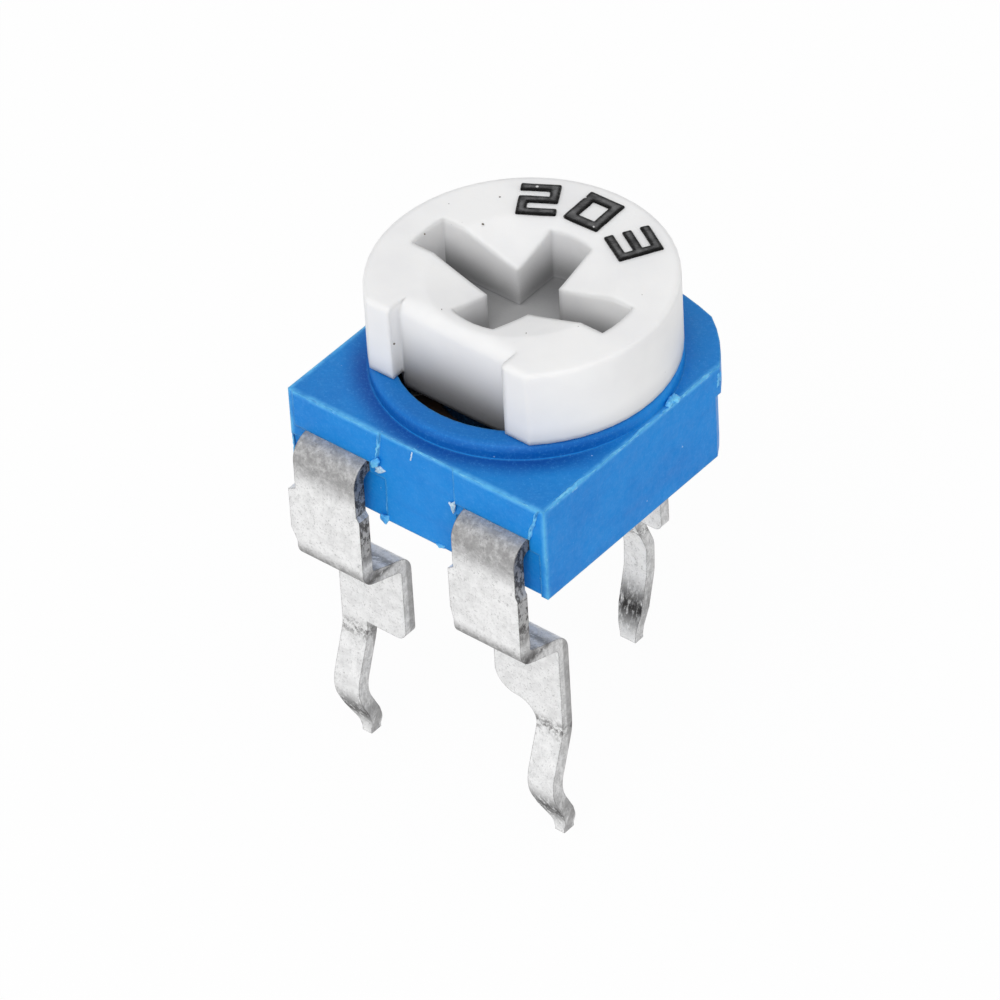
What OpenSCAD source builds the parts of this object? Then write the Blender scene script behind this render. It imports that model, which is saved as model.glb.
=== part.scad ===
// Single-turn trimmer potentiometer with a knob rotor on top and three board pins below.
// The origin is on the rotor's axis at the seat, where the shoulders of the pins meet the board.
// +Z is up and the two end terminals leave the housing at its front, on the -Y side.

/* [Housing] */
// Width of the housing
body_w = 6.5; // [6.2:0.1:7.5]
// Distance from the rotor's axis to the housing's front face
body_front = 3.5; // [3.4:0.02:4]
// Distance from the rotor's axis to the middle of the housing's curved back
body_back = 3.52; // [3.3:0.02:4]
// Radius of the curved back
back_curve_r = 7.05; // [5:0.05:20]
// Height of the housing without its ring
body_h = 2.23; // [2.1:0.01:3]
// Height of the housing's underside above the board
body_lift = 3.87; // [3.5:0.01:6]
// Distance from the rotor's axis to the two round back corners
back_corner_reach = 3.76; // [3.4:0.02:4]
// How far the upper half stands out at the back corners, above the parting line
parting_step = 0.09; // [0.02:0.01:0.15]
// Outer diameter of the ring around the cup
ring_d = 6.3; // [6:0.05:6.4]
// Height of the ring over the housing's top
ring_h = 0.34; // [0.2:0.02:0.6]
// Inner diameter of the cup
cup_d = 5.34; // [5.2:0.02:5.6]
// How far the hoods over the end terminals stand out
hood_out = 0.04; // [0.02:0.01:0.2]

/* [Rotor] */
// Diameter of the rotor's rim
rotor_d = 6.28; // [6:0.02:6.4]
// Height of the rotor's rim
rim_h = 1.74; // [1.5:0.02:2.2]
// Distance from the axis to the flat on the rim
flat_y = 2.4; // [2.2:0.05:2.8]
// Distance from the axis to the finger recess in the flat
recess_y = 2.1; // [1.9:0.05:2.2]
// Width of the finger recess
recess_w = 2.84; // [2:0.02:3]
// Diameter of the disc that turns inside the ring
disc_d = 5.02; // [4.6:0.02:5.1]
// Diameter of the stem
stem_d = 1.54; // [1.4:0.02:1.6]
// Angle that the rotor turns from one stop to the other
travel = 235; // [200:5:240]

/* [Driver slot] */
// Width of the long slot
slot_w = 0.96; // [0.8:0.02:1.1]
// Radius that the long slot reaches
slot_reach = 2.46; // [2.2:0.02:2.6]
// Width of the short slot
cross_w = 1.04; // [0.8:0.02:1.1]
// Radius that the short slot reaches
cross_reach = 1.64; // [1.4:0.02:1.7]
// Depth of both slots
slot_depth = 1.33; // [1:0.02:1.4]
// Radius of the dish that guides the driver
dish_r = 1.93; // [1.6:0.02:2.1]
// Depth of the dish's cone at the axis
dish_depth = 0.68; // [0.4:0.02:0.8]

/* [Terminals] */
// Thickness of the terminal sheet
sheet = 0.3; // [0.2:0.02:0.32]
// Distance between the centres of the two end pins
pitch = 5.08; // [5:0.02:5.2]
// Distance from the axis to the middle of the end terminals' tabs
front_tab_y = 2.69; // [2.5:0.02:2.8]
// Distance from the axis to the middle of the wiper terminal's tab
back_tab_y = 2.82; // [2.5:0.02:2.9]
// Width of each pin below its shoulder
pin_w = 0.66; // [0.6:0.02:0.8]
// Width of the wiper terminal's pin
back_pin_w = 0.6; // [0.5:0.02:0.8]
// Length of the pins below the board's top
pin_len = 3.25; // [3:0.05:3.5]
// How far each pin bows out to hold in the board
bow = 0.47; // [0.3:0.01:0.5]
// Width of the wiper terminal's tab
back_tab_w = 2.08; // [1.6:0.02:2.4]
// Thickness of the wiper terminal's sheet
back_sheet = 0.26; // [0.2:0.02:0.32]

/* [Inner pieces] */
// Thickness of the card that carries the track
card_h = 0.4; // [0.3:0.02:0.44]
// Thickness of the carbon track
track_h = 0.03; // [0.02:0.01:0.04]
// Inner radius of the carbon track
track_in = 1.55; // [1.5:0.05:1.7]
// Outer radius of the carbon track
track_out = 2.35; // [2.2:0.05:2.45]
// Thickness of the wiper spring
spring_h = 0.1; // [0.08:0.01:0.12]

/* [Hidden] */
$fn = 96;
eps = 0.01;

// Gap between a piece and the seat that holds it
seat_gap = 0.02;
// Radial running gap between the stem and the collar, and height gaps of the turning pieces
run_gap = 0.03;

body_top = body_lift + body_h;
ring_top = body_top + ring_h;
rim_z = ring_top + run_gap;
rotor_top = rim_z + rim_h;
disc_z = body_top;
ring_round = 0.16;

// The end terminals leave the housing between these two heights
exit_top = body_top - 0.86;
exit_low = exit_top - sheet;
cup_floor = exit_top;
card_top = cup_floor + card_h;
track_top = card_top + track_h;

// Centre of the hollow collar that links the wiper terminal and the wiper spring
collar_in = stem_d / 2 + run_gap;
collar_out = collar_in + 0.2;
collar_top = track_top + run_gap;
bore_r = collar_out + seat_gap;
spring_z = collar_top + seat_gap;
hub_z = spring_z + spring_h;
hub_r = 1.38;
head_r = 1.15;
head_h = 0.3;
head_z = body_lift - run_gap - head_h;

// Angles of the stop post and of the rotor's lug, which meet at each end of the travel
post_half = 27;
lug_half = 180 - travel / 2 - post_half;
post_in = 1.45;
post_out = 1.85;
post_top = disc_z - 0.05;
lug_in = 1.2;
lug_out = 1.8;

// Edges of an end terminal, as distances from the middle of the housing
strap_in = 1.24;
strap_out = 2.82;
tab_in = 1.17;
tab_out = pitch / 2 + pin_w / 2;
pin_in = tab_out - pin_w;
tip_half = 0.12;
taper_z = -2.45;
tip_z = -3.15;
tab_low = 0;
curved_tab_low = 0.1;
curved_shoulder_r = (pin_in - tab_in) / 2;
step_z = body_lift + 0.12;
bulge_low_z = 2.95;
bulge = 0.14;
pocket_depth = 0.05;
parting_z = 5.4;

// Rivet stud that joins each end terminal to its electrode, and the tongue that carries it
stud_x = 1.55;
stud_y = -1.2;
stud_r = 0.3;
tongue_half = 0.35;
track_end = 28;
electrode_end = 52;
electrode_mid = (track_end + electrode_end) / 2;
tongue_y = -2.8;

// Side view of an end terminal, as [y, z] of the middle of the sheet
strap_y = -body_front - 0.33;
strap_mid_z = exit_top - sheet / 2;
fold_z = 2.362;
shelf_drop = 0.3346;
crank_z = fold_z - shelf_drop * (-front_tab_y - strap_y);
front_path = [[-2.75, strap_mid_z], [strap_y, strap_mid_z], [strap_y, fold_z], [-front_tab_y, crank_z],
              [-front_tab_y, -0.35], [-front_tab_y - bow, -1.72], [-front_tab_y + 0.12, -2.95],
              [-front_tab_y + 0.12, -pin_len]];
front_bends = [0.33, 0.25, 0.3, 1, 0.9, 0.5];

// Side view of the wiper terminal from the strip under the housing to the tip of its pin
strip_z = body_lift + back_sheet / 2;
strip_half = 0.75;
eyelet_r = 1.5;
back_low = 0.2;
back_tip_half = 0.2;
back_pin_x = 0.02;
back_path = [[1.4, strip_z], [back_tab_y, strip_z], [back_tab_y, 0.05], [back_tab_y + 0.36, -0.85],
             [back_tab_y + 0.33, -1.55], [back_tab_y - 0.02, -2.9], [back_tab_y - 0.02, -pin_len]];
back_bends = [0.33, 0.6, 0.6, 1, 0.6];

// Side view of the wiper spring's two fingers
finger_mid = spring_z + spring_h / 2;
finger_path = [[1.1, finger_mid], [1.55, finger_mid], [1.98, track_top + spring_h / 2 + 0.005],
               [2.2, finger_mid]];
finger_bends = [0.2, 0.12];
peg_x = 1.1;
peg_r = 0.12;
peg_gap = 0.01;

function unit(v) = v / norm(v);
function left_of(v) = [-v[1], v[0]];
function reversed(list) = [for (i = [len(list) - 1:-1:0]) list[i]];
function heading(p, i) = unit(p[i + 1] - p[i]);
function half_turn(p, i) = acos(heading(p, i - 1) * heading(p, i)) / 2;
function mitre(p, i) = unit(left_of(heading(p, i - 1)) + left_of(heading(p, i))) / cos(half_turn(p, i));

// One face of a sheet that follows a path, its corners still sharp
function face_points(p, gap) =
    let (last = len(p) - 1)
    concat([p[0] + left_of(heading(p, 0)) * gap],
           [for (i = [1:last - 1]) p[i] + mitre(p, i) * gap],
           [p[last] + left_of(heading(p, last - 1)) * gap]);

// Centre of the bend at corner i
function bend_centre(p, r, i) = p[i] + unit(heading(p, i) - heading(p, i - 1)) * r / cos(half_turn(p, i));

// Wedge from a bend's centre out past the sheet's outer face, between the two tangent lines
module bend_wedge(p, r, t, i) {
    centre = bend_centre(p, r, i);
    tangent = r * tan(half_turn(p, i));
    reach = t > 0 ? 1.3 * (r + t / 2) / r : 1;
    polygon([centre, centre + (p[i] - heading(p, i - 1) * tangent - centre) * reach,
             centre + (p[i] - centre) * reach,
             centre + (p[i] + heading(p, i) * tangent - centre) * reach]);
}

// Sheet of thickness t bent along a path in the YZ plane, half_w wide on each side of x
module bent_sheet(path, bends, t, x, half_w)
    translate([x - half_w, 0, 0])
        rotate([90, 0, 90])
            linear_extrude(2 * half_w)
                difference() {
                    union() {
                        polygon(concat(face_points(path, t / 2), reversed(face_points(path, -t / 2))));
                        for (i = [1:len(path) - 2])
                            difference() {
                                bend_wedge(path, bends[i - 1], 0, i);
                                translate(bend_centre(path, bends[i - 1], i)) circle(bends[i - 1] - t / 2);
                            }
                    }
                    for (i = [1:len(path) - 2])
                        difference() {
                            bend_wedge(path, bends[i - 1], t, i);
                            translate(bend_centre(path, bends[i - 1], i)) circle(bends[i - 1] + t / 2);
                        }
                }

// Prism of an outline in the XZ plane that runs from y0 to y1
module front_prism(y0, y1)
    translate([0, y1, 0])
        rotate([90, 0, 0])
            linear_extrude(y1 - y0)
                children();

// Fillet of radius r that fills the corner at the origin, between a wall on +x and one on +y
module fillet_2d(r)
    difference() {
        square(r);
        translate([r, r]) circle(r);
    }

// Sector of a ring about the axis, within half degrees of angle mid
module ring_sector(r_in, r_out, mid, half, z0, z1)
    translate([0, 0, z0])
        linear_extrude(z1 - z0)
            intersection() {
                difference() {
                    circle(r_out);
                    circle(r_in);
                }
                polygon(concat([[0, 0]], [for (k = [-4:4]) 2 * r_out * [cos(mid + half * k / 4),
                                                                       sin(mid + half * k / 4)]]));
            }

// Disc with a rounded top edge
module rounded_disc(r, h, edge)
    rotate_extrude()
        union() {
            square([r - edge, h]);
            square([r, h - edge]);
            translate([r - edge, h - edge]) circle(edge);
        }

module tube(r_in, r_out, z0, z1)
    translate([0, 0, z0])
        difference() {
            cylinder(r = r_out, h = z1 - z0);
            translate([0, 0, -eps]) cylinder(r = r_in, h = z1 - z0 + 2 * eps);
        }

// Housing

// Plan of the housing: straight sides, two round corners and a curved back
module body_plan(corner_reach)
    intersection() {
        translate([-body_w / 2, -body_front]) square([body_w, 2 * body_front]);
        union() {
            circle(corner_reach);
            translate([-body_w / 2, -body_front]) square([body_w, body_front]);
        }
        translate([0, body_back - back_curve_r]) circle(back_curve_r);
    }

module body_block() {
    translate([0, 0, body_lift])
        linear_extrude(body_h) body_plan(back_corner_reach);
    translate([0, 0, parting_z])
        linear_extrude(body_top - parting_z) body_plan(back_corner_reach + parting_step);
}

// Raised plate over each end terminal, whose right side slants
module hood(x_left, x_top, x_low)
    front_prism(-body_front - hood_out, -body_front + 0.2)
        polygon([[x_left, exit_top], [x_low, exit_top], [x_top, body_top], [x_left, body_top]]);

// Shallow pocket in the front face behind each strap
module strap_pocket(side)
    translate([side > 0 ? 0.98 : -body_w / 2 - 1, -body_front - 1, body_lift - eps])
        cube([side > 0 ? 2.1 : body_w / 2 + 0.17, 1 + pocket_depth, exit_low - body_lift + eps]);

// Slot through the front wall for a strap, and the groove in the cup's floor for its tongue
module terminal_slot(side) {
    translate([side * (strap_in + strap_out) / 2, 0, 0]) {
        translate([-(strap_out - strap_in) / 2 - seat_gap, -4, exit_low])
            cube([strap_out - strap_in + 2 * seat_gap, 4 - 2.75 + seat_gap, sheet]);
    }
    translate([side * stud_x - tongue_half - seat_gap, -3, exit_low])
        cube([2 * (tongue_half + seat_gap), 3 + stud_y, sheet + eps]);
    translate([side * stud_x, stud_y, exit_low])
        cylinder(r = tongue_half + seat_gap, h = sheet + eps);
}

// Groove in the underside for the wiper terminal's eyelet and strip
module strip_groove()
    translate([0, 0, body_lift - eps]) {
        cylinder(r = eyelet_r + seat_gap, h = back_sheet + eps);
        translate([-strip_half - seat_gap, 0, 0])
            cube([2 * (strip_half + seat_gap), back_tab_y, back_sheet + eps]);
        translate([-back_tab_w / 2 - seat_gap, back_tab_y - 0.6, 0])
            cube([back_tab_w + 2 * seat_gap, 0.6 + back_sheet / 2 + seat_gap, back_sheet + eps]);
    }

module housing()
    color("royalblue")
        difference() {
            union() {
                difference() {
                    union() {
                        body_block();
                        translate([0, 0, body_top - 0.2])
                            rounded_disc(ring_d / 2, ring_h + 0.2, ring_round);
                        hood(-3.12, -0.86, -1);
                        hood(0.99, 3.13, 2.83);
                    }
                    translate([0, 0, cup_floor]) cylinder(d = cup_d, h = 5);
                }
                ring_sector(post_in, post_out, 270, post_half, cup_floor - 0.2, post_top);
            }
            translate([0, 0, body_lift - 1]) cylinder(r = bore_r, h = 5);
            for (side = [-1, 1]) {
                strap_pocket(side);
                terminal_slot(side);
            }
            strip_groove();
        }

// Rotor

// Quarter-round cut along the top edge of a wall that faces -Y
module edge_round(y, half_w, r)
    translate([-half_w, y, rotor_top])
        rotate([90, 0, 90])
            linear_extrude(2 * half_w)
                difference() {
                    translate([-eps, -r]) square([r + eps, r + eps]);
                    translate([r, -r]) circle(r);
                }

module driver_slot()
    translate([0, 0, rotor_top - slot_depth])
        linear_extrude(slot_depth + eps)
            union() {
                intersection() {
                    circle(slot_reach);
                    square([2 * slot_reach, slot_w], center = true);
                }
                intersection() {
                    circle(cross_reach);
                    square([cross_w, 2 * cross_reach], center = true);
                }
            }

module rotor_stem() {
    translate([0, 0, head_z + eps]) cylinder(d = stem_d, h = disc_z - head_z);
    translate([0, 0, hub_z]) cylinder(r = hub_r, h = disc_z - hub_z + eps);
    ring_sector(lug_in, lug_out, 90, lug_half, hub_z + run_gap, disc_z + eps);
    translate([0, 0, head_z + head_h])
        mirror([0, 0, 1])
            rounded_disc(head_r, head_h, 0.14);
    for (side = [-1, 1])
        translate([side * peg_x, 0, spring_z])
            cylinder(r = peg_r, h = spring_h + eps);
}

module rotor()
    color("whitesmoke")
        union() {
            difference() {
                union() {
                    translate([0, 0, rim_z]) rounded_disc(rotor_d / 2, rim_h, 0.06);
                    translate([0, 0, disc_z]) cylinder(d = disc_d, h = rim_z - disc_z + eps);
                }
                translate([-4, -flat_y - 2, disc_z - 1]) cube([8, 2, 5]);
                translate([-recess_w / 2, -recess_y - 2, disc_z - 1]) cube([recess_w, 2, 5]);
                edge_round(-recess_y, recess_w / 2, 0.3);
                edge_round(-flat_y, 3.2, 0.1);
                driver_slot();
                translate([0, 0, rotor_top - dish_depth])
                    cylinder(r1 = 0, r2 = dish_r * (1 + eps / dish_depth), h = dish_depth + eps);
            }
            rotor_stem();
        }

// Resistance element

module element_card()
    color("saddlebrown")
        difference() {
            tube(bore_r, cup_d / 2 - seat_gap, cup_floor, card_top);
            ring_sector(post_in - 0.05, post_out + 0.05, 270, post_half + 2, cup_floor - 1, card_top + 1);
            for (side = [-1, 1])
                translate([side * stud_x, stud_y, cup_floor - 1])
                    cylinder(r = stud_r, h = card_h + 2);
        }

module carbon_track()
    color("dimgray")
        ring_sector(track_in, track_out, 90, 90 + track_end, card_top, track_top);

// Conductive pad between a rivet stud and the end of the track, no higher than the track
module electrode(side)
    color("silver")
        ring_sector(track_in - 0.05, track_out, side > 0 ? -electrode_mid : 180 + electrode_mid,
                    (electrode_end - track_end) / 2, card_top, track_top);

module left_electrode() electrode(-1);
module right_electrode() electrode(1);

// Wiper

module wiper_spring()
    color("gold")
        union() {
            difference() {
                tube(collar_in, hub_r - 0.03, spring_z, hub_z);
                for (side = [-1, 1])
                    translate([side * peg_x, 0, spring_z - 1])
                        cylinder(r = peg_r + peg_gap, h = 3);
            }
            for (side = [-1, 1])
                bent_sheet(finger_path, finger_bends, spring_h, side * 0.22, 0.14);
        }

// Terminals

// Front view of a pin that tapers to its tip
module pin_2d(half, half_tip)
    polygon([[-half, 0.5], [half, 0.5], [half, taper_z], [half_tip, tip_z], [half_tip, -pin_len - 1],
             [-half_tip, -pin_len - 1], [-half_tip, tip_z], [-half, taper_z]]);

// Front view of an end terminal's strap and tab, with the bulges that cutting left on its edges
module strap_2d(bulge_in, bulge_out)
    polygon([[strap_in, exit_top + 1], [strap_out, exit_top + 1], [strap_out, step_z + 0.05],
             [tab_out + bulge_out, step_z - 0.05], [tab_out + bulge_out, bulge_low_z],
             [tab_out, bulge_low_z - 0.3],
             [tab_out, tab_low + 0.5], [tab_in, tab_low + 0.5], [tab_in, bulge_low_z - 0.3],
             [tab_in - bulge_in, bulge_low_z], [tab_in - bulge_in, step_z - 0.05], [strap_in, step_z + 0.05]]);

// Tab with a square inner shoulder, its lower corner rounded
module square_tab_2d()
    difference() {
        translate([tab_in, tab_low]) square([tab_out - tab_in, 1]);
        translate([tab_in, tab_low]) fillet_2d(0.25);
    }

// Tab whose inner edge runs to the pin in an S of two arcs
module curved_tab_2d() {
    difference() {
        translate([tab_in, curved_tab_low]) square([tab_out - tab_in, 1]);
        translate([tab_in, curved_tab_low]) fillet_2d(curved_shoulder_r);
    }
    translate([pin_in, curved_tab_low])
        mirror([1, 0])
            mirror([0, 1])
                fillet_2d(curved_shoulder_r);
}

// End terminal on the right side: strap, shelf, tab and pin in one sheet, with its tongue and stud
module end_terminal() {
    intersection() {
        bent_sheet(front_path, front_bends, sheet, (tab_in + tab_out) / 2, 1.2);
        front_prism(-6, 0) {
            translate([pitch / 2, 0]) pin_2d(pin_w / 2, tip_half);
            children();
        }
    }
    translate([stud_x - tongue_half, tongue_y, exit_low])
        cube([2 * tongue_half, stud_y - tongue_y, sheet]);
    translate([stud_x, stud_y, exit_low]) cylinder(r = tongue_half, h = sheet);
    translate([stud_x, stud_y, exit_low]) cylinder(r = stud_r, h = sheet + card_h);
}

module left_terminal()
    color("gainsboro")
        mirror([1, 0, 0])
            end_terminal() {
                strap_2d(0, bulge);
                square_tab_2d();
            }

module right_terminal()
    color("gainsboro")
        end_terminal() {
            strap_2d(bulge / 2, 0);
            curved_tab_2d();
        }

module back_tab_2d() {
    half = back_tab_w / 2;
    difference() {
        translate([-half, back_low]) square([back_tab_w, body_lift + 1]);
        for (side = [0, 1])
            mirror([side, 0])
                translate([-half, back_low]) fillet_2d(0.2);
    }
    translate([back_pin_x, 0]) pin_2d(back_pin_w / 2, back_tip_half);
}

module wiper_terminal()
    color("gainsboro")
        difference() {
            union() {
                intersection() {
                    bent_sheet(back_path, back_bends, back_sheet, 0, back_tab_w / 2 + 0.1);
                    front_prism(2.3, 6) back_tab_2d();
                }
                translate([-strip_half, 0, body_lift]) cube([2 * strip_half, 2.4, back_sheet]);
                translate([0, 0, body_lift]) cylinder(r = eyelet_r, h = back_sheet);
                translate([0, 0, body_lift]) cylinder(r = collar_out, h = collar_top - body_lift);
            }
            translate([0, 0, body_lift - eps])
                cylinder(r = collar_in, h = collar_top - body_lift + 2 * eps);
        }

housing();
rotor();
element_card();
carbon_track();
left_electrode();
right_electrode();
wiper_spring();
left_terminal();
right_terminal();
wiper_terminal();
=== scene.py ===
"""Looks of a trimmer potentiometer: blue housing, white knob rotor, three tin-plated pins.

The CAD nodes keep their shape. This script gives them materials and adds the moulding flash, chips,
dust, raised dial number, floor, light and camera. Lengths and places are in mm in the part's frame,
unless a name ends in _M.
"""
import math
import random

import bmesh
import bpy
from mathutils import Matrix, Vector, noise


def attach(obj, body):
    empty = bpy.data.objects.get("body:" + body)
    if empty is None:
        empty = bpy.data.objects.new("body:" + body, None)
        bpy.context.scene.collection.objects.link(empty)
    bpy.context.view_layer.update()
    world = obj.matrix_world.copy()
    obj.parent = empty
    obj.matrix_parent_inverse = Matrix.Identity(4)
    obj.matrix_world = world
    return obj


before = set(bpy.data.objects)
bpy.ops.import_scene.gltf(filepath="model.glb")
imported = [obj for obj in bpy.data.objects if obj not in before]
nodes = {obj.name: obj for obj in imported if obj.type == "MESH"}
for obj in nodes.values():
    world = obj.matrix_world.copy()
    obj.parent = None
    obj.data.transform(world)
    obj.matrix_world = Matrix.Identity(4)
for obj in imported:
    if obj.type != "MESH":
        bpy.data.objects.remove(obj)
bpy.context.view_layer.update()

MM = 0.001
X, Y, Z = Vector((1, 0, 0)), Vector((0, 1, 0)), Vector((0, 0, 1))

# Places on the housing

BOX_X = 3.25
BOX_TOP = 6.10
BOX_LOW = 3.87
FRONT_Y = -3.5
HOOD_Y = -3.54
RING_R = 3.15
RING_TOP = 6.44
CUP_R = 2.67

# Places on the rotor

ROTOR_TOP = 8.21
SHADE_TOP = ROTOR_TOP - 0.26
SLOT_R = 2.46
SLOT_FLOOR = 6.88
RECESS_Y = -2.1
RECESS_HALF = 1.42

# Places on the terminals

STRAP_BEND_LOW = 4.1
STRAP_BEND_HIGH = 4.75
FOLD_Z = 2.34
STRAP_CUT_Z = 2.6
TAB_CUT_FRONT = -2.74
TAB_CUT_BACK = -2.45
WIPER_TAB_Y = 2.7
WIPER_TAB_TOP = 3.1
PIN_BEND_HIGH = -0.3
PIN_BEND_LOW = -2.4


# Colours

# How far red, green and blue light goes into the plastics, relative to each other
PLASTIC_SCATTER = (1.0, 0.95, 0.9)


def srgb(r, g, b):
    """A colour as the photograph shows it, 0 to 255, as linear numbers."""
    def lin(v):
        v = v / 255
        return v / 12.92 if v <= 0.04045 else ((v + 0.055) / 1.055) ** 2.4
    return (lin(r), lin(g), lin(b))


def grey(v):
    return srgb(v, v, v)


def as_colour(value):
    """A colour socket as it is, or three numbers with an alpha of 1."""
    return value if isinstance(value, bpy.types.NodeSocket) else (*value, 1.0)


# Node tree helpers

class Tree:
    """A material's node tree, with short calls for the nodes this script uses."""

    def __init__(self, name):
        self.mat = bpy.data.materials.new(name)
        self.mat.use_nodes = True
        self.nt = self.mat.node_tree
        self.nt.nodes.clear()
        self.out = self.nt.nodes.new("ShaderNodeOutputMaterial")
        self.coord = None

    def node(self, kind, **props):
        n = self.nt.nodes.new(kind)
        for key, value in props.items():
            setattr(n, key, value)
        return n

    def put(self, socket, value):
        """Link a socket to another one, or set it to a constant."""
        if isinstance(value, bpy.types.NodeSocket):
            self.nt.links.new(value, socket)
        elif value is not None:
            socket.default_value = value

    def mm(self):
        """The surface point in mm."""
        if self.coord is None:
            tex = self.node("ShaderNodeTexCoord")
            scaled = self.node("ShaderNodeVectorMath", operation="SCALE")
            self.put(scaled.inputs[0], tex.outputs["Object"])
            self.put(scaled.inputs["Scale"], 1 / MM)
            self.coord = scaled.outputs[0]
        return self.coord

    def stretched(self, factors):
        """The surface point with each axis scaled, for marks drawn out in one direction."""
        n = self.node("ShaderNodeVectorMath", operation="MULTIPLY")
        self.put(n.inputs[0], self.mm())
        self.put(n.inputs[1], factors)
        return n.outputs[0]

    def axes(self):
        """The surface point's x, y and z in mm."""
        n = self.node("ShaderNodeSeparateXYZ")
        self.put(n.inputs[0], self.mm())
        return n.outputs

    def from_axis(self, x, y):
        """Distance in mm from the rotor's axis."""
        return self.math("SQRT", self.math("ADD", self.product(x, x), self.product(y, y)))

    def facing(self, axis):
        """The share of the face's own normal along an axis, -1 to 1."""
        geo = self.node("ShaderNodeNewGeometry")
        n = self.node("ShaderNodeSeparateXYZ")
        self.put(n.inputs[0], geo.outputs["True Normal"])
        return n.outputs[axis]

    def noise(self, scale, detail, rough, vector=None, distortion=0.0):
        n = self.node("ShaderNodeTexNoise")
        self.put(n.inputs["Vector"], vector or self.mm())
        self.put(n.inputs["Scale"], scale)
        self.put(n.inputs["Detail"], detail)
        self.put(n.inputs["Roughness"], rough)
        self.put(n.inputs["Distortion"], distortion)
        return n.outputs[0]

    def dots(self, scale, solid, gone):
        """Scattered dots: 1 within `solid` of a cell's centre and 0 past `gone`, in cell widths."""
        n = self.node("ShaderNodeTexVoronoi")
        self.put(n.inputs["Vector"], self.mm())
        self.put(n.inputs["Scale"], scale)
        return self.fade(n.outputs["Distance"], solid, gone)

    def math(self, op, a, b=None):
        n = self.node("ShaderNodeMath", operation=op)
        self.put(n.inputs[0], a)
        self.put(n.inputs[1], b)
        return n.outputs[0]

    def ramp(self, value, low, high, out_low=0.0, out_high=1.0):
        """A smooth step from one output to the other. Low may be over high."""
        n = self.node("ShaderNodeMapRange", interpolation_type="SMOOTHSTEP")
        self.put(n.inputs["Value"], value)
        self.put(n.inputs["From Min"], low)
        self.put(n.inputs["From Max"], high)
        self.put(n.inputs["To Min"], out_low)
        self.put(n.inputs["To Max"], out_high)
        return n.outputs[0]

    def fade(self, value, low, high):
        """1 up to the low value, falling to 0 at the high one."""
        return self.ramp(value, low, high, 1.0, 0.0)

    def near(self, value, centre, reach):
        """1 at the centre value, falling to 0 at the reach on both sides."""
        return self.fade(self.math("ABSOLUTE", self.math("SUBTRACT", value, centre)), 0.0, reach)

    def product(self, *values):
        result = values[0]
        for v in values[1:]:
            result = self.math("MULTIPLY", result, v)
        return result

    def most(self, *values):
        result = values[0]
        for v in values[1:]:
            result = self.math("MAXIMUM", result, v)
        return result

    def mix(self, fac, a, b):
        n = self.node("ShaderNodeMix", data_type="RGBA")
        self.put(n.inputs[0], fac)
        for socket, value in ((n.inputs[6], a), (n.inputs[7], b)):
            self.put(socket, as_colour(value))
        return n.outputs[2]

    def tint(self, colour, target, *masks):
        """The colour, drawn to the target by the product of the masks."""
        return self.mix(self.product(*masks), colour, target)

    def bevel(self, radius_mm, samples=6):
        n = self.node("ShaderNodeBevel", samples=samples)
        self.put(n.inputs["Radius"], radius_mm * MM)
        return n.outputs[0]

    def edge(self, rounded, low, high):
        """1 where the rounded normal leaves the flat one: the part's sharp edges."""
        geo = self.node("ShaderNodeNewGeometry")
        dot = self.node("ShaderNodeVectorMath", operation="DOT_PRODUCT")
        self.put(dot.inputs[0], geo.outputs["Normal"])
        self.put(dot.inputs[1], rounded)
        return self.ramp(self.math("SUBTRACT", 1.0, dot.outputs["Value"]), low, high)

    def hollow(self, reach_mm):
        """0 in the open, rising to 1 in deep corners and slots."""
        n = self.node("ShaderNodeAmbientOcclusion", samples=8)
        self.put(n.inputs["Distance"], reach_mm * MM)
        return self.math("SUBTRACT", 1.0, n.outputs["AO"])

    def bump(self, height, depth_mm, strength, normal=None):
        n = self.node("ShaderNodeBump")
        self.put(n.inputs["Strength"], strength)
        self.put(n.inputs["Distance"], depth_mm * MM)
        self.put(n.inputs["Height"], height)
        self.put(n.inputs["Normal"], normal)
        return n.outputs[0]

    def finish(self, colour, roughness, normal=None, metallic=0.0, ior=1.5, specular=0.5,
               subsurface=0.0, subsurface_mm=0.0):
        """Close the tree with one principled surface and return its material."""
        b = self.node("ShaderNodeBsdfPrincipled")
        self.put(b.inputs["Base Color"], as_colour(colour))
        self.put(b.inputs["Roughness"], roughness)
        self.put(b.inputs["Metallic"], metallic)
        self.put(b.inputs["IOR"], ior)
        self.put(b.inputs["Specular IOR Level"], specular)
        self.put(b.inputs["Normal"], normal)
        if subsurface:
            self.put(b.inputs["Subsurface Weight"], subsurface)
            self.put(b.inputs["Subsurface Scale"], subsurface_mm * MM)
            self.put(b.inputs["Subsurface Radius"], PLASTIC_SCATTER)
        self.put(self.out.inputs["Surface"], b.outputs[0])
        return self.mat


# Materials

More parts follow.
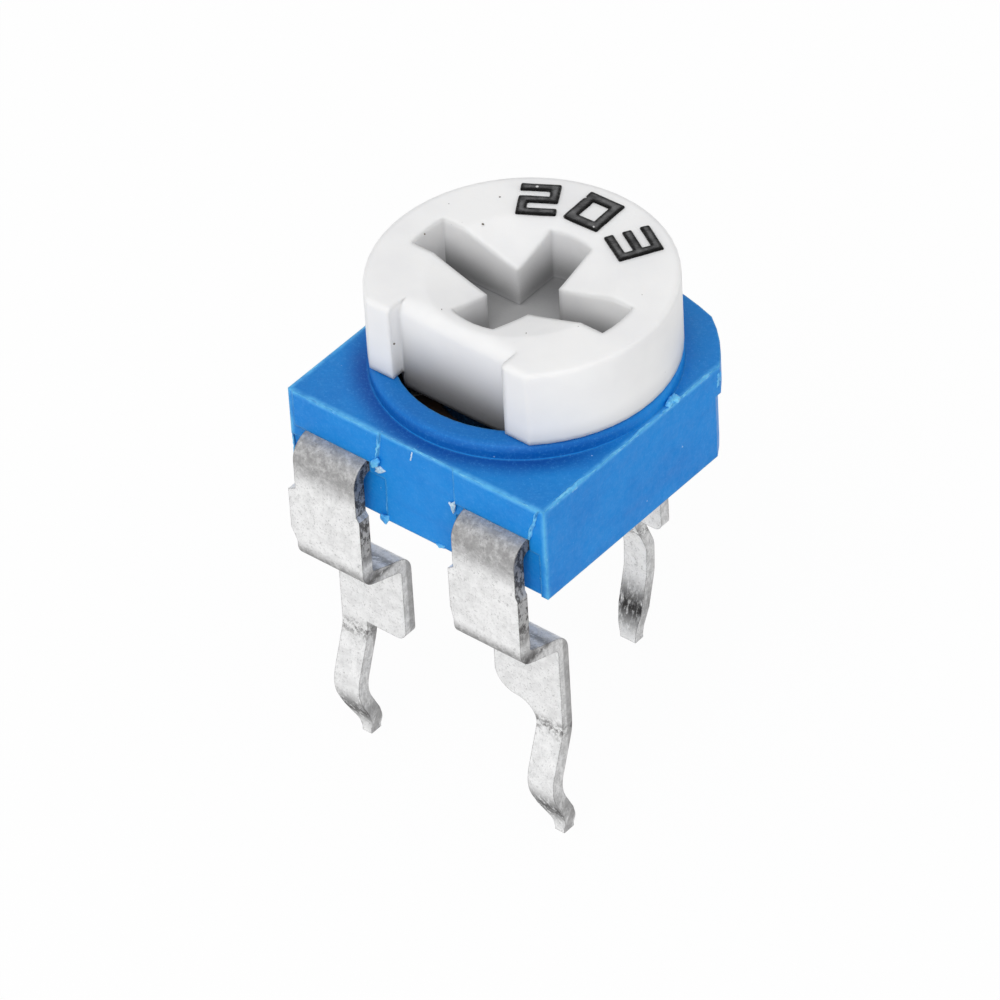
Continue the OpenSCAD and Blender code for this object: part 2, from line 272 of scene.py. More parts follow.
def housing_material():
    """Moulded blue plastic: cloudy, paler on its worn edges, with painted shade on its top faces, round the
    ring and in the cup.
    """
    t = Tree("blue_housing_plastic")
    x, y, z = t.axes()
    away = t.from_axis(x, y)
    up = t.facing("Z")
    rounded = t.bevel(0.07)
    body, deep, pale = srgb(0, 134, 219), srgb(0, 114, 202), srgb(104, 196, 248)

    clouds = t.ramp(t.noise(0.55, 4.0, 0.6), 0.36, 0.66)
    colour = t.tint(body, deep, clouds, 0.45)
    mottle = t.ramp(t.noise(7.0, 5.0, 0.7), 0.35, 0.7)
    colour = t.tint(colour, srgb(74, 160, 232), mottle, 0.16)
    flow_marks = t.ramp(t.noise(1.1, 3.0, 0.6, t.stretched((0.35, 0.35, 2.6))), 0.5, 0.75)
    colour = t.tint(colour, srgb(40, 112, 200), flow_marks, 0.18)
    # Painted shade: faces that look up are drawn towards a darker, greyer blue.
    colour = t.tint(colour, srgb(44, 98, 158), t.ramp(up, 0.6, 0.9), 0.3)

    ring_foot = t.product(t.near(away, RING_R, 0.25), t.ramp(z, BOX_TOP + 0.15, BOX_TOP + 0.1),
                          t.ramp(up, -0.5, 0.0))
    broken = t.ramp(t.noise(3.4, 4.0, 0.7), 0.34, 0.6)
    colour = t.tint(colour, pale, t.edge(rounded, 0.03, 0.2), broken,
                    t.math("SUBTRACT", 1.0, ring_foot), 0.9)

    at_x = t.near(t.math("ABSOLUTE", x), BOX_X, 0.13)
    at_y = t.near(y, (FRONT_Y + HOOD_Y) / 2, 0.15)
    at_top = t.near(z, BOX_TOP, 0.12)
    worn = t.most(t.product(at_x, at_y), t.product(at_x, at_top), t.product(at_y, at_top))
    patchy = t.ramp(t.noise(2.6, 4.0, 0.7), 0.32, 0.6, 0.3, 1.0)
    colour = t.tint(colour, pale, worn, patchy, 0.75)

    # Painted shade: the cup's inner wall below the ring's top is drawn almost black.
    cup_shade = t.product(t.fade(away, CUP_R - 0.01, CUP_R + 0.03), t.fade(z, RING_TOP - 0.08, RING_TOP - 0.02))
    colour = t.tint(colour, srgb(14, 15, 18), cup_shade, 0.93)
    ring_shade = t.product(t.ramp(away, RING_R - 0.03, RING_R + 0.05),
                           t.fade(away, RING_R + 0.05, RING_R + 0.6),
                           t.ramp(up, 0.5, 0.9), t.ramp(y, -0.6, -2.4))
    colour = t.tint(colour, srgb(4, 50, 140), ring_shade, 0.7)
    # Painted shade: the ring's outer wall is darker on its front side.
    ring_wall_shade = t.product(t.ramp(z, BOX_TOP + 0.01, BOX_TOP + 0.04),
                          t.ramp(z, RING_TOP - 0.14, RING_TOP + 0.01, 1.0, 0.45), t.ramp(y, 0.6, -1.6))
    colour = t.tint(colour, srgb(2, 58, 148), ring_wall_shade, 0.6)

    some = t.ramp(t.noise(1.9, 2.0, 0.5), 0.5, 0.58)
    colour = t.tint(colour, srgb(176, 212, 236), t.dots(3.2, 0.035, 0.075), some, 0.75)
    dusty = t.ramp(t.noise(2.7, 2.0, 0.5), 0.54, 0.62)
    colour = t.tint(colour, srgb(140, 196, 238), t.dots(9.0, 0.03, 0.09), dusty, 0.7)
    peel = t.ramp(t.noise(16.0, 5.0, 0.8), 0.5, 0.68)
    colour = t.tint(colour, srgb(90, 176, 240), peel, 0.22)

    rough = t.ramp(t.noise(4.5, 4.0, 0.65), 0.3, 0.75, 0.4, 0.58)
    skin = t.product(t.noise(11.0, 4.0, 0.6), 0.25)
    waves = t.noise(0.8, 2.0, 0.5)
    normal = t.bump(t.math("ADD", skin, waves), 0.05, 0.55, rounded)
    return t.finish(colour, rough, normal, specular=0.2, subsurface=0.06, subsurface_mm=0.25)


def flash_material():
    """Thin flash of the housing's plastic, paler than its body."""
    t = Tree("blue_flash_plastic")
    ragged = t.ramp(t.noise(4.0, 4.0, 0.7), 0.35, 0.68)
    colour = t.mix(ragged, srgb(66, 164, 236), srgb(120, 208, 250))
    dark = t.ramp(t.noise(1.6, 3.0, 0.6), 0.58, 0.7)
    colour = t.tint(colour, srgb(42, 126, 212), dark, 0.6)
    rough = t.ramp(t.noise(8.0, 3.0, 0.6), 0.3, 0.7, 0.3, 0.5)
    normal = t.bump(t.noise(6.0, 4.0, 0.7), 0.04, 0.6, t.bevel(0.02))
    return t.finish(colour, rough, normal, subsurface=0.15, subsurface_mm=0.2)


def scar_material():
    """Torn, stress-whitened plastic at the chips and scratches."""
    t = Tree("whitened_blue_plastic")
    grain = t.ramp(t.noise(9.0, 4.0, 0.7), 0.35, 0.65)
    colour = t.mix(grain, srgb(140, 190, 226), srgb(214, 232, 242))
    rough = t.ramp(t.noise(12.0, 3.0, 0.6), 0.3, 0.7, 0.5, 0.75)
    return t.finish(colour, rough, t.bump(t.noise(14.0, 4.0, 0.7), 0.03, 0.8))


def rotor_material():
    """White plastic with soft edges, with painted shade down in the driver slot, in the recess and low on
    the rotor by the ring.
    """
    t = Tree("white_rotor_plastic")
    x, y, z = t.axes()
    away = t.from_axis(x, y)
    rounded = t.bevel(0.19, samples=8)

    clouds = t.ramp(t.noise(0.45, 3.0, 0.55), 0.38, 0.66)
    colour = t.mix(clouds, grey(240), srgb(234, 234, 235))
    wear = t.ramp(t.noise(3.0, 4.0, 0.7), 0.4, 0.62)
    colour = t.tint(colour, srgb(246, 247, 247), t.edge(rounded, 0.01, 0.3), wear, 0.6)
    some = t.ramp(t.noise(1.4, 2.0, 0.5), 0.55, 0.6)
    colour = t.tint(colour, srgb(176, 176, 174), t.dots(2.3, 0.02, 0.05), some, 0.35)

    # Painted shade: the driver slot darkens with depth, more where the walls close in.
    inside = t.fade(away, SLOT_R - 0.02, SLOT_R + 0.01)
    behind_recess = t.ramp(y, RECESS_Y + 0.05, RECESS_Y + 0.12)
    deep = t.product(t.ramp(z, SHADE_TOP, SLOT_FLOOR + 0.07), inside, behind_recess)
    occlusion_shade = t.ramp(t.hollow(1.3), 0.3, 0.8, 0.5, 1.0)
    colour = t.tint(colour, srgb(54, 54, 57), deep, occlusion_shade, 0.74)
    # Painted shade: the slot's floor is darker still.
    slot_floor_shade = t.product(t.ramp(z, SLOT_FLOOR + 0.05, SLOT_FLOOR + 0.01), inside, behind_recess)
    colour = t.tint(colour, srgb(60, 60, 63), slot_floor_shade, 0.35)
    # Painted shade: the recess in the rotor's side darkens towards the bottom.
    recess_shade = t.product(t.fade(z, BOX_TOP, SHADE_TOP),
                          t.fade(t.math("ABSOLUTE", x), RECESS_HALF - 0.06, RECESS_HALF + 0.02),
                          t.ramp(y, RECESS_Y + 0.2, RECESS_Y + 0.08))
    colour = t.tint(colour, srgb(56, 56, 59), recess_shade, 0.86)
    # Painted shade: the rotor's side is a little darker low down, by the ring.
    foot = t.fade(z, RING_TOP - 0.04, RING_TOP + 0.51)
    colour = t.tint(colour, srgb(120, 122, 128), foot, 0.22)

    rough = t.ramp(t.noise(5.0, 4.0, 0.6), 0.3, 0.72, 0.36, 0.5)
    skin = t.product(t.noise(9.0, 4.0, 0.6), 0.3)
    waves = t.noise(1.1, 2.0, 0.5)
    normal = t.bump(t.math("ADD", skin, waves), 0.03, 0.45, rounded)
    return t.finish(colour, rough, normal, ior=1.49, subsurface=0.25, subsurface_mm=0.35)


def terminal_material():
    """Tin plate: mottled and gritty, worn and with painted shade at its bends, torn grey on its sheared
    edges.
    """
    t = Tree("tin_plated_sheet")
    _, y, z = t.axes()
    side = t.math("ABSOLUTE", t.facing("X"))
    rounded = t.bevel(0.035)

    mottle = t.ramp(t.noise(3.2, 5.0, 0.72, distortion=0.3), 0.38, 0.66)
    colour = t.mix(mottle, grey(253), grey(236))
    stains = t.ramp(t.noise(9.0, 5.0, 0.75), 0.57, 0.68)
    colour = t.tint(colour, srgb(160, 159, 158), stains, 0.35)
    some = t.ramp(t.noise(3.4, 3.0, 0.6), 0.5, 0.58)
    colour = t.tint(colour, srgb(84, 80, 76), t.dots(9.0, 0.08, 0.2), some, 0.35)
    grit = t.ramp(t.noise(18.0, 5.0, 0.8), 0.54, 0.62)
    colour = t.tint(colour, srgb(140, 139, 139), grit, 0.3)
    scuffs = t.ramp(t.noise(5.0, 5.0, 0.8, t.stretched((2.4, 2.4, 0.7))), 0.6, 0.68)
    colour = t.tint(colour, srgb(120, 118, 117), scuffs, 0.4)
    outline = t.product(t.edge(rounded, 0.02, 0.16), t.ramp(t.noise(4.0, 4.0, 0.7), 0.3, 0.5, 0.35, 1.0))
    colour = t.tint(colour, srgb(96, 94, 94), outline, 0.75)

    strap = t.ramp(y, FRONT_Y + 0.2, FRONT_Y - 0.1)
    # Partly worn metal and partly painted shade: the strap is darker at its top bend and along its fold, in
    # broken patches.
    rubbed_and_shaded = t.ramp(t.noise(7.0, 5.0, 0.75), 0.3, 0.62, 0.55, 1.0)
    bend_wear_and_shade = t.product(t.ramp(z, STRAP_BEND_LOW, STRAP_BEND_HIGH), strap)
    colour = t.tint(colour, srgb(104, 102, 103), bend_wear_and_shade, rubbed_and_shaded, 0.7)
    fold_wear_and_shade = t.product(t.near(z, FOLD_Z, 0.36), strap)
    colour = t.tint(colour, srgb(76, 74, 74), fold_wear_and_shade, rubbed_and_shaded, 0.85)
    crest = t.product(t.near(z, FOLD_Z - 0.08, 0.12), t.ramp(y, FRONT_Y + 0.6, FRONT_Y + 0.3),
                      t.ramp(t.noise(9.0, 5.0, 0.8), 0.36, 0.5))
    colour = t.tint(colour, srgb(46, 44, 44), crest, 0.8)

    # Painted shade: the pins' lower bends are dark in streaks, most on the faces that do not face sideways.
    streaky_shade = t.ramp(t.noise(4.0, 5.0, 0.75, t.stretched((2.6, 2.6, 0.8))), 0.28, 0.54)
    low_bend_shade = t.product(t.near(z, PIN_BEND_LOW, 0.85), t.ramp(side, 0.9, 0.5, 0.5, 1.0), streaky_shade)
    colour = t.tint(colour, srgb(48, 46, 46), low_bend_shade)
    high_bend = t.product(t.near(z, PIN_BEND_HIGH, 0.3), t.ramp(t.noise(8.0, 5.0, 0.8), 0.44, 0.58))
    colour = t.tint(colour, srgb(74, 71, 70), high_bend, 0.8)
    wiper_tab = t.product(t.near(z, WIPER_TAB_TOP, 0.45), t.ramp(y, WIPER_TAB_Y - 0.2, WIPER_TAB_Y),
                          t.ramp(t.noise(6.0, 4.0, 0.7), 0.4, 0.6))
    colour = t.tint(colour, srgb(92, 90, 90), wiper_tab, 0.5)

    cut = t.ramp(side, 0.7, 0.95)
    in_tab = t.product(t.ramp(y, TAB_CUT_FRONT, TAB_CUT_FRONT + 0.08),
                       t.ramp(y, TAB_CUT_BACK, TAB_CUT_BACK - 0.05))
    in_strap = t.ramp(z, STRAP_CUT_Z, STRAP_CUT_Z + 0.3)
    darker_cut = t.ramp(t.most(in_tab, in_strap), 0.0, 1.0, 0.22, 0.6)
    colour = t.tint(colour, srgb(112, 110, 110), cut, darker_cut)
    sheared = t.ramp(t.noise(5.0, 5.0, 0.8, t.stretched((1.0, 1.6, 1.0))), 0.45, 0.55)
    high = t.ramp(z, STRAP_CUT_Z + 0.1, STRAP_CUT_Z + 0.7, 0.25, 1.0)
    colour = t.tint(colour, srgb(44, 40, 38), cut, sheared, high, 0.9)

    rough = t.ramp(t.noise(6.0, 5.0, 0.7), 0.3, 0.7, 0.34, 0.56)
    drawn = t.product(t.noise(4.0, 4.0, 0.65, t.stretched((5.0, 5.0, 0.8))), 0.2)
    dents = t.noise(2.2, 3.0, 0.6)
    grain = t.product(t.noise(20.0, 5.0, 0.8), 0.45)
    normal = t.bump(t.math("ADD", t.math("ADD", drawn, dents), grain), 0.06, 0.85, rounded)
    return t.finish(colour, rough, normal, metallic=0.65)


def print_material():
    """Black raised print: a painted grey sheen along the middle of the strokes, a black outline, a few
    painted glints.
    """
    t = Tree("black_raised_print")
    # Painted sheen: the flat tops of the strokes are grey over the black ink.
    tone = t.ramp(t.noise(5.0, 4.0, 0.6), 0.3, 0.7)
    colour = t.mix(tone, srgb(60, 60, 61), srgb(104, 104, 105))
    rim = t.edge(t.bevel(0.11, samples=8), 0.0005, 0.012)
    ragged = t.ramp(t.noise(7.0, 4.0, 0.7), 0.3, 0.5, 0.7, 1.0)
    colour = t.tint(colour, grey(5), rim, ragged)
    colour = t.tint(colour, grey(4), t.ramp(t.facing("Z"), 0.99, 0.9))
    # Painted highlights: a few pale glints on the strokes.
    some = t.ramp(t.noise(3.1, 3.0, 0.6), 0.44, 0.5)
    colour = t.tint(colour, grey(228), t.dots(4.5, 0.1, 0.17), some, 0.85)
    rough = t.ramp(t.noise(7.0, 3.0, 0.6), 0.3, 0.7, 0.22, 0.36)
    return t.finish(colour, rough, t.bump(t.noise(5.0, 3.0, 0.7), 0.06, 0.8), specular=0.15)


def card_material():
    """Brown laminate in thin layers."""
    t = Tree("brown_laminate_card")
    layers = t.ramp(t.noise(3.0, 4.0, 0.6, t.stretched((0.6, 0.6, 8.0))), 0.35, 0.65)
    colour = t.mix(layers, srgb(44, 30, 22), srgb(26, 19, 15))
    fibre = t.ramp(t.noise(9.0, 4.0, 0.7), 0.4, 0.7)
    colour = t.tint(colour, srgb(82, 54, 36), fibre, 0.3)
    rough = t.ramp(t.noise(6.0, 3.0, 0.6), 0.3, 0.7, 0.55, 0.75)
    return t.finish(colour, rough, t.bump(t.noise(8.0, 4.0, 0.6), 0.02, 0.6))


def track_material():
    """Matt black carbon film."""
    t = Tree("carbon_track_film")
    grain = t.ramp(t.noise(10.0, 5.0, 0.7), 0.35, 0.65)
    colour = t.mix(grain, srgb(26, 26, 27), srgb(44, 43, 42))
    rough = t.ramp(t.noise(6.0, 3.0, 0.6), 0.3, 0.7, 0.42, 0.6)
    return t.finish(colour, rough, t.bump(t.noise(12.0, 4.0, 0.7), 0.01, 0.6))


def electrode_material():
    """Printed silver, a little tarnished."""
    t = Tree("silver_electrode")
    tarnish = t.ramp(t.noise(3.0, 4.0, 0.65), 0.4, 0.68)
    colour = t.mix(tarnish, srgb(206, 203, 196), srgb(160, 150, 134))
    rough = t.ramp(t.noise(7.0, 3.0, 0.6), 0.3, 0.7, 0.32, 0.5)
    return t.finish(colour, rough, t.bump(t.noise(9.0, 4.0, 0.6), 0.01, 0.5), metallic=0.85)


def spring_material():
    """Phosphor bronze with fine lines from its rolling."""
    t = Tree("phosphor_bronze_spring")
    tone = t.ramp(t.noise(2.4, 4.0, 0.6), 0.38, 0.66)
    colour = t.mix(tone, srgb(206, 158, 104), srgb(170, 118, 70))
    rough = t.ramp(t.noise(6.0, 3.0, 0.6), 0.3, 0.7, 0.24, 0.4)
    rolled = t.noise(4.0, 3.0, 0.6, t.stretched((1.0, 7.0, 1.0)))
    return t.finish(colour, rough, t.bump(rolled, 0.01, 0.5), metallic=0.9)


def speck_material():
    """Dull brown dust."""
    t = Tree("dust_speck")
    tone = t.noise(12.0, 3.0, 0.6)
    return t.finish(t.mix(tone, srgb(120, 112, 100), srgb(72, 68, 62)), 0.8)


flash_mat = flash_material()
scar_mat = scar_material()
print_mat = print_material()
speck_mat = speck_material()
terminal_mat = terminal_material()
electrode_mat = electrode_material()

NODE_MATERIALS = {
    "housing": housing_material(),
    "rotor": rotor_material(),
    "element_card": card_material(),
    "carbon_track": track_material(),
    "left_electrode": electrode_mat,
    "right_electrode": electrode_mat,
    "wiper_spring": spring_material(),
    "left_terminal": terminal_mat,
    "right_terminal": terminal_mat,
    "wiper_terminal": terminal_mat,
}
for node_name, node_mat in NODE_MATERIALS.items():
    nodes[node_name].data.materials.clear()
    nodes[node_name].data.materials.append(node_mat)


# Mesh helpers

def add_mesh(name, verts, faces, mat, body, bevel=0.0, smooth=False):
    """A new piece from points in mm, riding on a body."""
    mesh = bpy.data.meshes.new(name)
    mesh.from_pydata([tuple(c * MM for c in v) for v in verts], [], faces)
    bm = bmesh.new()
    bm.from_mesh(mesh)
    bmesh.ops.recalc_face_normals(bm, faces=bm.faces)
    bm.to_mesh(mesh)
    bm.free()
    mesh.materials.append(mat)
    obj = bpy.data.objects.new(name, mesh)
    bpy.context.scene.collection.objects.link(obj)
    if bevel:
        m = obj.modifiers.new("soft_edges", "BEVEL")
        m.width = bevel * MM
        m.segments = 2
        m.limit_method = "ANGLE"
    if smooth:
        m = obj.modifiers.new("smooth", "SUBSURF")
        m.levels = 1
        m.render_levels = 1
        for p in mesh.polygons:
            p.use_smooth = True
    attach(obj, body)
    return obj


def resampled(points, step):
    """The broken line through the points, cut into steps of about the given length."""
    pts = [Vector(p) for p in points]
    out = []
    for start, end in zip(pts, pts[1:]):
        n = max(1, round((end - start).length / step))
        out += [start.lerp(end, i / n) for i in range(n)]
    out.append(pts[-1])
    return out


# The dial number, raised print on the rotor's top

PRINT_RAISE = 0.05
PRINT_SINK = 0.02
PRINT_BEVEL = 0.045
PRINT_WOBBLE = 0.012
PRINT_R = 2.37
DIGIT_H = 0.97
DIGIT_ROWS = {
    "0": ("111", "101", "101", "101", "111"),
    "2": ("111", "001", "111", "100", "111"),
    "3": ("111", "001", "111", "001", "111"),
}
# Name, digit, its place round the axis in degrees, width and stroke
DIGITS = (
    ("dial_digit_left", "2", 121.0, 0.82, 0.205),
    ("dial_digit_middle", "0", 92.0, 0.85, 0.235),
    ("dial_digit_right", "3", 60.0, 0.82, 0.205),
)


def digit_mesh(name, digit, angle, width, stroke):
    """One squared digit, built from the cells of a 3 by 5 grid, its foot towards the rotor's axis."""
    gap = (DIGIT_H - 3 * stroke) / 2
    xs = [0, stroke, width - stroke, width]
    ys = [0]
    for h in (stroke, gap, stroke, gap, stroke):
        ys.append(ys[-1] + h)
    place = math.radians(angle)
    turn = math.radians(angle - 90)
    rows = DIGIT_ROWS[digit]
    filled = {(c, 4 - r) for r in range(5) for c in range(3) if rows[r][c] == "1"}
    index = {}
    verts = []

    def corner(i, j, top):
        """The number of the vertex at a grid corner, made when it is first asked for."""
        key = (i, j, top)
        if key not in index:
            u = xs[i] - width / 2
            v = ys[j] - DIGIT_H / 2
            u += PRINT_WOBBLE * noise.noise(Vector((i * 3.1 + len(name), j * 2.3, 0.5)))
            v += PRINT_WOBBLE * noise.noise(Vector((i * 2.7, j * 3.3 + len(name), 4.5)))
            px = PRINT_R * math.cos(place) + u * math.cos(turn) - v * math.sin(turn)
            py = PRINT_R * math.sin(place) + u * math.sin(turn) + v * math.cos(turn)
            index[key] = len(verts)
            verts.append((px, py, ROTOR_TOP + (PRINT_RAISE if top else -PRINT_SINK)))
        return index[key]

    faces = []
    for c, r in filled:
        cell = [(c, r), (c + 1, r), (c + 1, r + 1), (c, r + 1)]
        faces.append([corner(i, j, True) for i, j in cell])
        faces.append([corner(i, j, False) for i, j in reversed(cell)])
        sides = (((c, r - 1), cell[0], cell[1]), ((c + 1, r), cell[1], cell[2]),
                 ((c, r + 1), cell[2], cell[3]), ((c - 1, r), cell[3], cell[0]))
        for neighbour, start, end in sides:
            if neighbour not in filled:
                faces.append([corner(*end, True), corner(*start, True),
                              corner(*start, False), corner(*end, False)])
    return add_mesh(name, verts, faces, print_mat, "turning", bevel=PRINT_BEVEL)


for digit_row in DIGITS:
    digit_mesh(*digit_row)


# The camera of the photograph, which also places the small marks

PHOTO_PX = 1000
CAM_PLACE = Vector((80.19, -92.12, 106.20))
CAM_RIGHT = Vector((0.77497, 0.63031, -0.04603))
CAM_UP = Vector((-0.38175, 0.52492, 0.76075))
CAM_BACK = Vector((0.50368, -0.57198, 0.64742))
LENS = 286.73
SENSOR = 36.0


def on_plane(px, py, axis, value):
    """The point in mm where the photograph's pixel meets the plane x, y or z = value."""
    k = SENSOR / LENS / PHOTO_PX
    mid = PHOTO_PX / 2
    ray = CAM_RIGHT * (px - mid) * k + CAM_UP * (mid - py) * k - CAM_BACK
    i = "xyz".index(axis)
    return CAM_PLACE + ray * ((value - CAM_PLACE[i]) / ray[i])


# Flash, chips and dust, placed by the photograph's pixels on the face that carries them

BEAD_STEP = 0.05
BEAD_RAGGED = 0.75
BEAD_SINK = 0.004
BEAD_ROOT = 0.03
FLAKE_STEP = 0.03
FLAKE_SINK = 0.015
SPECK_THICK = 0.012


def flash_bead(name, path, face_a, face_b, width, height, seed):
    """A ragged bead of flash along an edge. face_a and face_b run from the edge across its two faces."""
    rnd = random.Random(seed)
    out = -(face_a + face_b).normalized()
    pts = resampled(path, BEAD_STEP)
    rings = []
    for i, p in enumerate(pts):
        taper = min(1.0, 0.15 + i * BEAD_STEP * 4, 0.15 + (len(pts) - 1 - i) * BEAD_STEP * 4)
        swell = 0.5 + noise.noise(p * 2.3 + Vector((seed, 0, 0))) * 0.9
        even = taper * (swell * BEAD_RAGGED + (1 - BEAD_RAGGED) * 0.6)
        size = max(0.12, even + rnd.uniform(-0.12, 0.12) * BEAD_RAGGED)
        foot_a = p + face_a * width * size * rnd.uniform(0.7, 1.2) - out * BEAD_SINK
        crest = p + out * height * size * rnd.uniform(0.6, 1.2)
        crest += face_a * rnd.uniform(-0.2, 0.5) * width * size
        foot_b = p + face_b * width * size * rnd.uniform(0.7, 1.2) - out * BEAD_SINK
        rings.append([foot_a, crest, foot_b, p - out * BEAD_ROOT])
    verts = [v for ring in rings for v in ring]
    faces = [(i * 4 + j, i * 4 + (j + 1) % 4, i * 4 + 4 + (j + 1) % 4, i * 4 + 4 + j)
             for i in range(len(rings) - 1) for j in range(4)]
    last = (len(rings) - 1) * 4
    faces += [(3, 2, 1, 0), (last, last + 1, last + 2, last + 3)]
    return add_mesh(name, verts, faces, flash_mat, "base", smooth=True)


def flake(name, outline, out, thick, seed, mat, body="base", slot="housing", jag=0.014):
    """A small raised patch with a ragged outline, its middle a little proud of its rim."""
    rnd = random.Random(seed)
    pts = resampled(list(outline) + [outline[0]], FLAKE_STEP)[:-1]
    mid = sum(pts, Vector()) / len(pts)
    rim = []
    top = []
    for p in pts:
        side = (p - mid).normalized()
        q = p + side * rnd.uniform(-jag, jag)
        rim.append(q - out * FLAKE_SINK)
        top.append(q.lerp(mid, 0.12) + out * thick * rnd.uniform(0.35, 1.1))
    n = len(pts)
    verts = rim + top + [mid + out * thick * 0.7, mid - out * FLAKE_SINK]
    faces = []
    for i in range(n):
        j = (i + 1) % n
        faces += [(i, j, n + j, n + i), (n + i, n + j, 2 * n), (j, i, 2 * n + 1)]
    return add_mesh(name, verts, faces, mat, body, smooth=True)


def on_front(y, *pixels):
    """Points on a plane that faces the front, under the photograph's pixels."""
    return [on_plane(px, py, "y", y) for px, py in pixels]


# The edges of the box: name, path, the two directions into the faces, width, height, seed
EDGE_BEADS = (
    ("flash_front_left", [(-3.1, HOOD_Y, BOX_TOP), (-0.9, HOOD_Y, BOX_TOP)], Y, -Z, 0.1, 0.035, 3),
    ("flash_front_middle", [(-0.84, FRONT_Y, BOX_TOP), (0.98, FRONT_Y, BOX_TOP)], Y, -Z, 0.1, 0.04, 5),
    ("flash_front_right", [(1.0, HOOD_Y, BOX_TOP), (3.1, HOOD_Y, BOX_TOP)], Y, -Z, 0.08, 0.028, 7),
    ("flash_right_top", [(BOX_X, -3.46, BOX_TOP), (BOX_X, 1.85, BOX_TOP)], -X, -Z, 0.15, 0.06, 11),
    ("flash_left_top", [(-BOX_X, -3.46, BOX_TOP), (-BOX_X, 1.85, BOX_TOP)], X, -Z, 0.08, 0.025, 13),
    ("flash_near_corner", [(BOX_X, FRONT_Y, BOX_TOP), (BOX_X, FRONT_Y, BOX_LOW + 0.05)],
     -X, Y, 0.1, 0.02, 17),
    ("flash_left_corner", [(-BOX_X, FRONT_Y, BOX_TOP), (-BOX_X, FRONT_Y, BOX_LOW + 0.05)],
     X, Y, 0.12, 0.025, 19),
    ("flash_low_right", [(BOX_X, -3.4, BOX_LOW), (BOX_X, 1.8, BOX_LOW)], -X, Z, 0.04, 0.014, 23),
    ("flash_low_front", [(-0.8, FRONT_Y, BOX_LOW), (0.9, FRONT_Y, BOX_LOW)], Y, Z, 0.05, 0.02, 29),
    ("flash_hood_left", on_front(HOOD_Y, (378, 432), (379, 447), (374, 464)), -X, Y, 0.19, 0.07, 31),
    ("flash_step_front", on_front(FRONT_Y, (387, 474), (388, 493), (387, 512)), -X, Y, 0.06, 0.02, 32),
    ("flash_hood_right", on_front(HOOD_Y, (537, 512), (534, 526), (529, 541)), -X, Y, 0.2, 0.06, 37),
)
for bead_row in EDGE_BEADS:
    flash_bead(*bead_row)

CURL_RIGHT = [on_plane(px, py, "z", BOX_TOP) for px, py in
              ((664, 408), (668, 399), (675, 394), (682, 398), (680, 403), (674, 402), (670, 409))]
CURL_LEFT = on_front(HOOD_Y, (372, 459), (378, 457), (381, 461), (378, 467), (373, 468), (370, 464))
NUB_LOW = on_front(FRONT_Y, (380, 513), (390, 515.5), (390, 521), (387, 524.5), (380.5, 519))
CHIP_LEFT = on_front(FRONT_Y, (374, 465), (380, 465.5), (387, 471.5), (380, 474), (374.5, 471),
                     (376.5, 468.5))
CHIP_RIGHT = on_front(HOOD_Y, (448, 501), (451.5, 503), (455, 500.5), (456, 508), (454, 515),
                      (451, 508))
SCRATCH = on_front(FRONT_Y, (411.5, 451), (413, 452), (411, 462), (409.5, 461))
FLAKE_LOW = on_front(FRONT_Y, (435, 542), (446, 546), (445, 549), (438, 547))
BACK_BURR = [(3.2, 1.92, 5.55), (3.2, 2.1, 5.62), (3.2, 2.12, 5.95), (3.2, 1.95, 5.98)]

# Curls, flakes and chips: name, outline, outward direction, thickness, seed, material
FLAKES = (
    ("flash_curl_right", CURL_RIGHT, Z, 0.1, 41, flash_mat),
    ("flash_curl_left", CURL_LEFT, -Y, 0.07, 43, flash_mat),
    ("flash_nub_low", NUB_LOW, -Y, 0.06, 47, flash_mat),
    ("chip_left_hood", CHIP_LEFT, -Y, 0.05, 53, scar_mat),
    ("chip_right_slot", CHIP_RIGHT, -Y, 0.04, 59, scar_mat),
    ("scratch_front", SCRATCH, -Y, 0.01, 61, scar_mat),
    ("flake_low_middle", FLAKE_LOW, -Y, 0.04, 66, flash_mat),
    ("back_corner_burr", BACK_BURR, X, 0.08, 67, flash_mat),
)
for flake_row in FLAKES:
    flake(*flake_row)

# Dust on the rotor's top: x, y and radius. Each speck has six corners at these angles
ROTOR_SPECKS = ((-1.915, 1.666, 0.03), (-1.644, 0.799, 0.035), (-2.377, -0.122, 0.025),
                (1.2, -1.35, 0.014), (2.3, 0.9, 0.014), (-0.6, -1.75, 0.012), (1.9, -0.6, 0.012),
                (-2.6, 0.9, 0.014))
SPECK_ANGLES = (0, 1.1, 2.2, 3.3, 4.4, 5.4)
for i, (sx, sy, r) in enumerate(ROTOR_SPECKS):
    ring = [Vector((sx + r * math.cos(k), sy + r * 0.8 * math.sin(k), ROTOR_TOP)) for k in SPECK_ANGLES]
    flake(f"dust_{i}", ring, Z, SPECK_THICK, 80 + i, speck_mat, "turning", "rotor", jag=0.006)
on_flat = on_front(-2.4, (392.6, 344), (394, 342.5), (395.4, 344), (394, 345.5))
flake("dust_flat", on_flat, -Y, SPECK_THICK, 91, speck_mat, "turning", "rotor", jag=0.004)


# Floor, light and camera

FLOOR_Z = -3.27
FLOOR_HALF_M = 1.5
FLOOR_GLOW = 0.95
HORIZON = 0.95
ZENITH = 0.8
WORLD_STRENGTH = 0.8
CLIP_NEAR_M = 0.001
CLIP_FAR_M = 20.0
KEY_PLACE = Vector((80, -185, 250))
KEY_AIM = Vector((0, 0, 6))
KEY_SIZE_M = 0.24
KEY_POWER = 0.46

scene = bpy.context.scene
scene.view_settings.view_transform = "Standard"


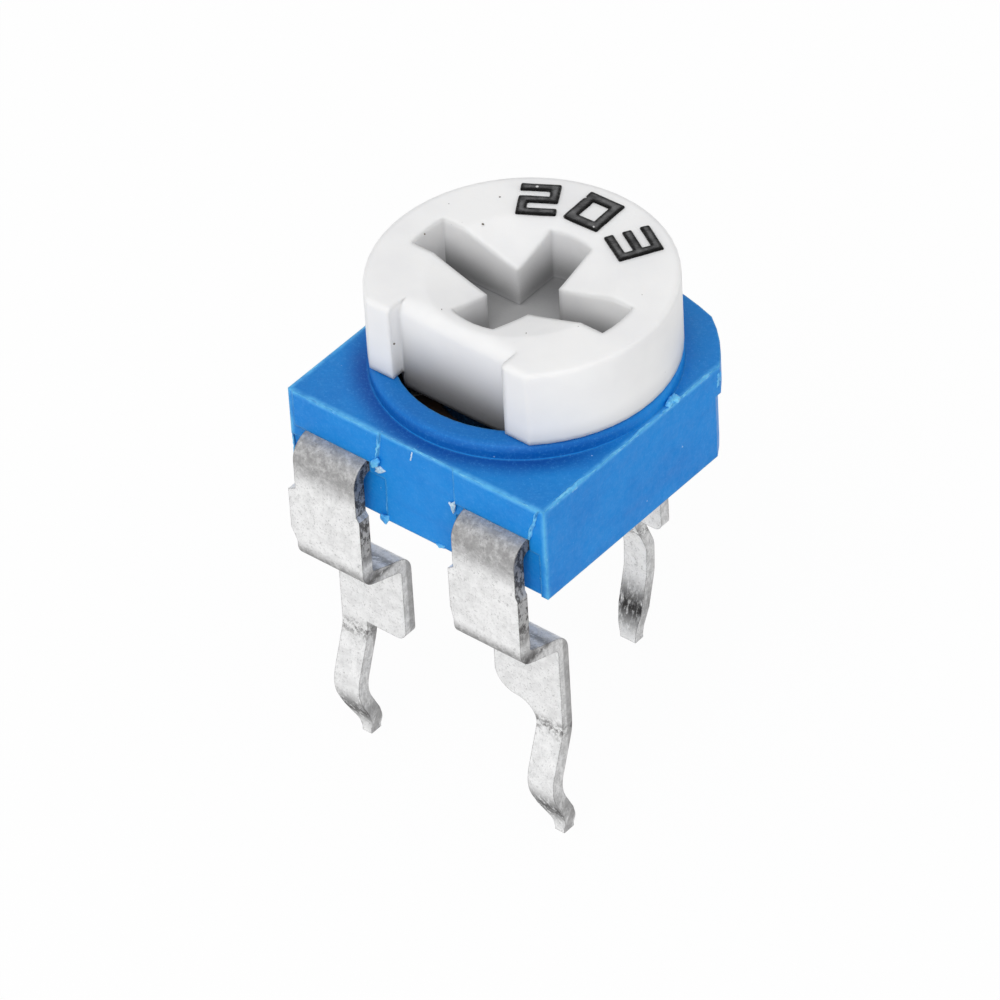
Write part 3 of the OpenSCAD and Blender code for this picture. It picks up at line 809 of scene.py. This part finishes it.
def floor_material():
    """A white floor that the camera and the reflections see as white, and that keeps the shadow."""
    t = Tree("pale_floor")
    grain = t.noise(0.02, 3.0, 0.5)
    diffuse = t.node("ShaderNodeBsdfDiffuse")
    t.put(diffuse.inputs["Color"], t.mix(grain, (0.86, 0.86, 0.86), (0.89, 0.89, 0.89)))
    glow = t.node("ShaderNodeEmission")
    t.put(glow.inputs["Strength"], 1.0)
    path = t.node("ShaderNodeLightPath")
    seen = t.most(path.outputs["Is Camera Ray"], path.outputs["Is Glossy Ray"],
                  path.outputs["Is Transmission Ray"])
    blend = t.node("ShaderNodeMixShader")
    t.put(blend.inputs[0], t.product(seen, FLOOR_GLOW))
    t.put(blend.inputs[1], diffuse.outputs[0])
    t.put(blend.inputs[2], glow.outputs[0])
    t.put(t.out.inputs["Surface"], blend.outputs[0])
    return t.mat


def make_floor():
    mesh = bpy.data.meshes.new("floor")
    corners = ((-1, -1), (1, -1), (1, 1), (-1, 1))
    mesh.from_pydata([(sx * FLOOR_HALF_M, sy * FLOOR_HALF_M, FLOOR_Z * MM) for sx, sy in corners],
                     [], [(0, 1, 2, 3)])
    mesh.materials.append(floor_material())
    floor = bpy.data.objects.new("floor", mesh)
    scene.collection.objects.link(floor)


def soft_world():
    """Even light from all round, a little weaker from straight above."""
    world = bpy.data.worlds.new("soft_studio")
    scene.world = world
    world.use_nodes = True
    nt = world.node_tree
    nt.nodes.clear()
    out = nt.nodes.new("ShaderNodeOutputWorld")
    back = nt.nodes.new("ShaderNodeBackground")
    coord = nt.nodes.new("ShaderNodeTexCoord")
    split = nt.nodes.new("ShaderNodeSeparateXYZ")
    ramp = nt.nodes.new("ShaderNodeValToRGB")
    for element, level in zip(ramp.color_ramp.elements, (HORIZON, ZENITH)):
        element.color = (level, level, level, 1)
    back.inputs["Strength"].default_value = WORLD_STRENGTH
    nt.links.new(coord.outputs["Generated"], split.inputs[0])
    nt.links.new(split.outputs["Z"], ramp.inputs[0])
    nt.links.new(ramp.outputs[0], back.inputs["Color"])
    nt.links.new(back.outputs[0], out.inputs["Surface"])


def key_light():
    """One large soft lamp from the front right."""
    lamp = bpy.data.lights.new("key", "AREA")
    lamp.shape = "SQUARE"
    lamp.size = KEY_SIZE_M
    lamp.energy = KEY_POWER
    obj = bpy.data.objects.new("key", lamp)
    obj.location = KEY_PLACE * MM
    obj.rotation_euler = (KEY_AIM * MM - KEY_PLACE * MM).to_track_quat("-Z", "Y").to_euler()
    scene.collection.objects.link(obj)


def photo_camera():
    """The camera at the photograph's place and angle."""
    data = bpy.data.cameras.new("photo_camera")
    data.lens = LENS
    data.sensor_width = SENSOR
    data.clip_start = CLIP_NEAR_M
    data.clip_end = CLIP_FAR_M
    camera = bpy.data.objects.new("photo_camera", data)
    placed = Matrix((CAM_RIGHT, CAM_UP, CAM_BACK)).transposed().to_4x4()
    placed.translation = CAM_PLACE * MM
    camera.matrix_world = placed
    scene.collection.objects.link(camera)
    scene.camera = camera


make_floor()
soft_world()
key_light()
photo_camera()
